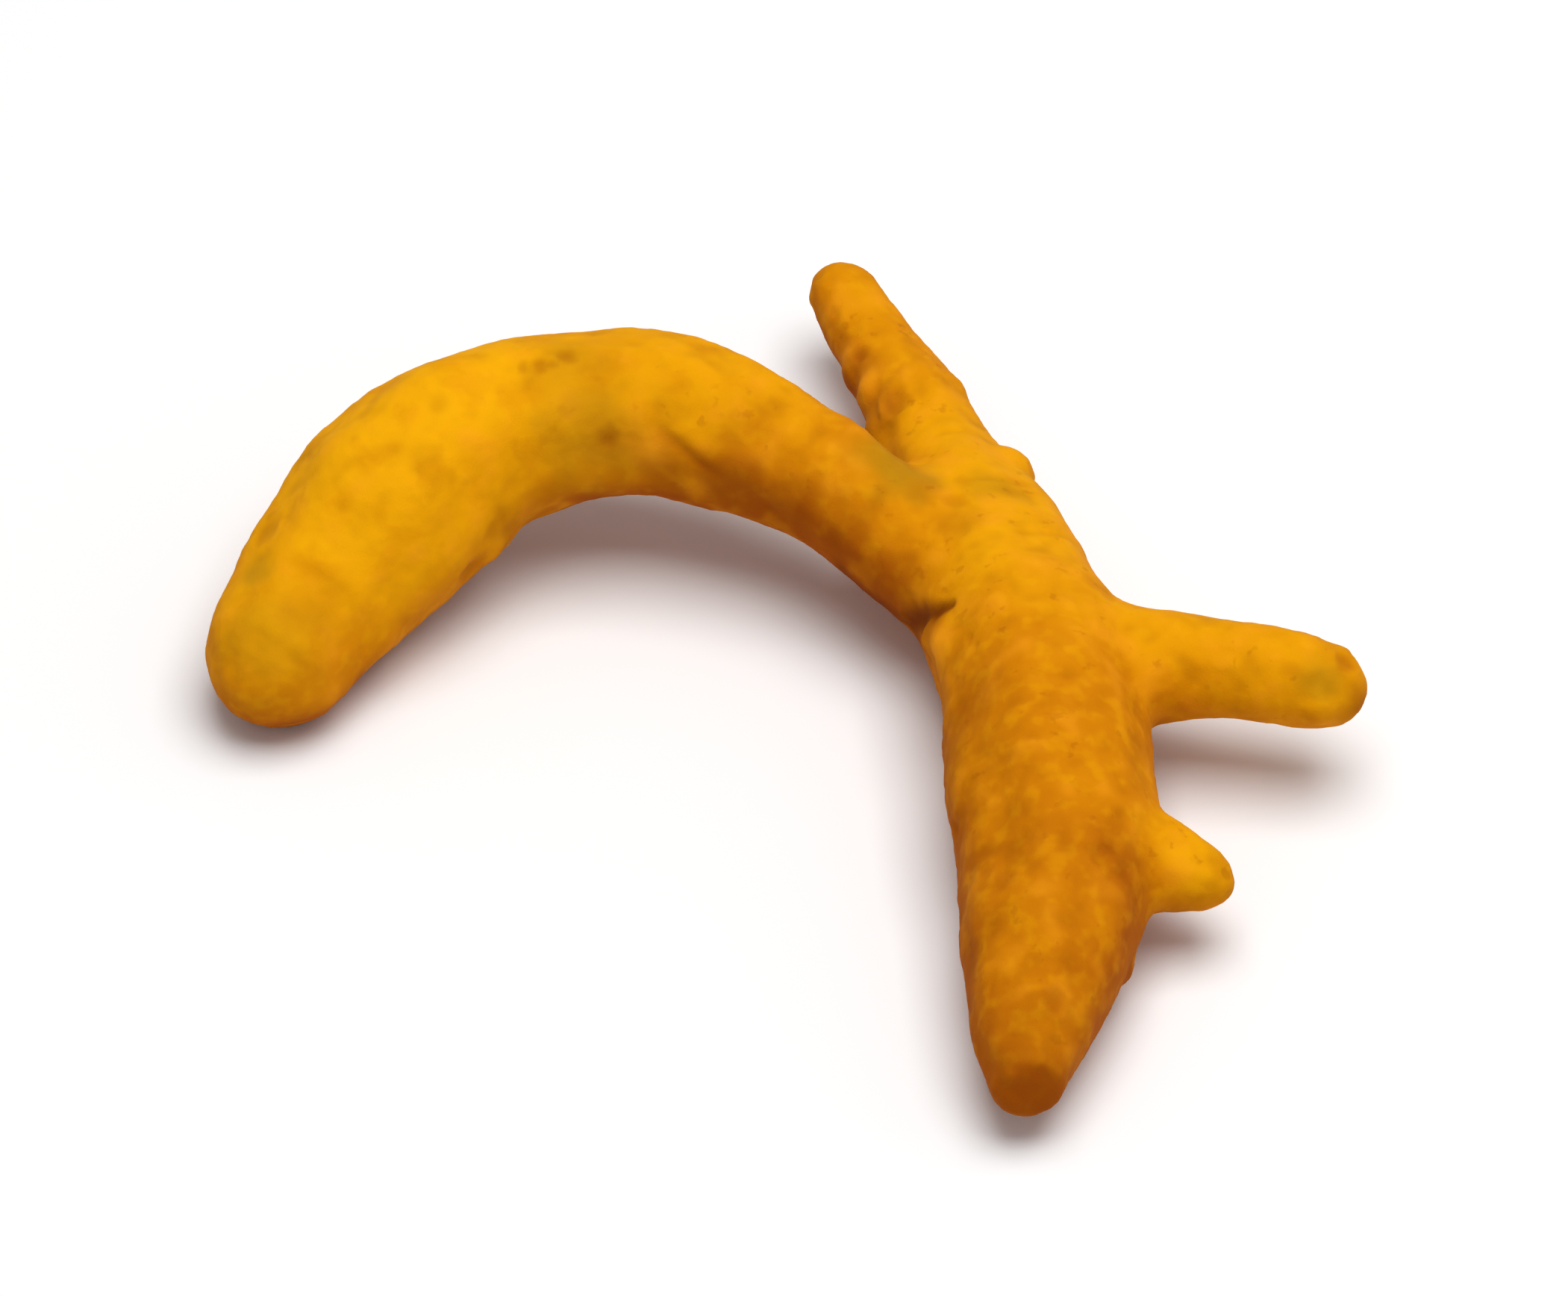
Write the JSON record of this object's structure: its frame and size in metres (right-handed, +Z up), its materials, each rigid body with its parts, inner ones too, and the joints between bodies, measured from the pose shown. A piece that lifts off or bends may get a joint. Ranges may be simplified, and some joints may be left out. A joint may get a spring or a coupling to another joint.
{
  "type": "dried turmeric root",
  "caption": "Branched dried turmeric rhizome with a tapering ringed main finger, a long arching side finger and short stubs, lying on its own low points.",
  "frame": {"origin": "on the surface it rests on, under the middle of the outline seen from above", "axes": "+Z up from that surface, -Y along the main finger towards its broken low tip, +X from the long side finger's tip towards the short side fingers"},
  "size_m": [0.0683, 0.0674, 0.0145],
  "materials": {
    "turmeric_skin": "matte, powdery, orange-yellow"
  },
  "bodies": {
    "root": {"rhizome": "turmeric_skin"}
  },
  "joints": []
}
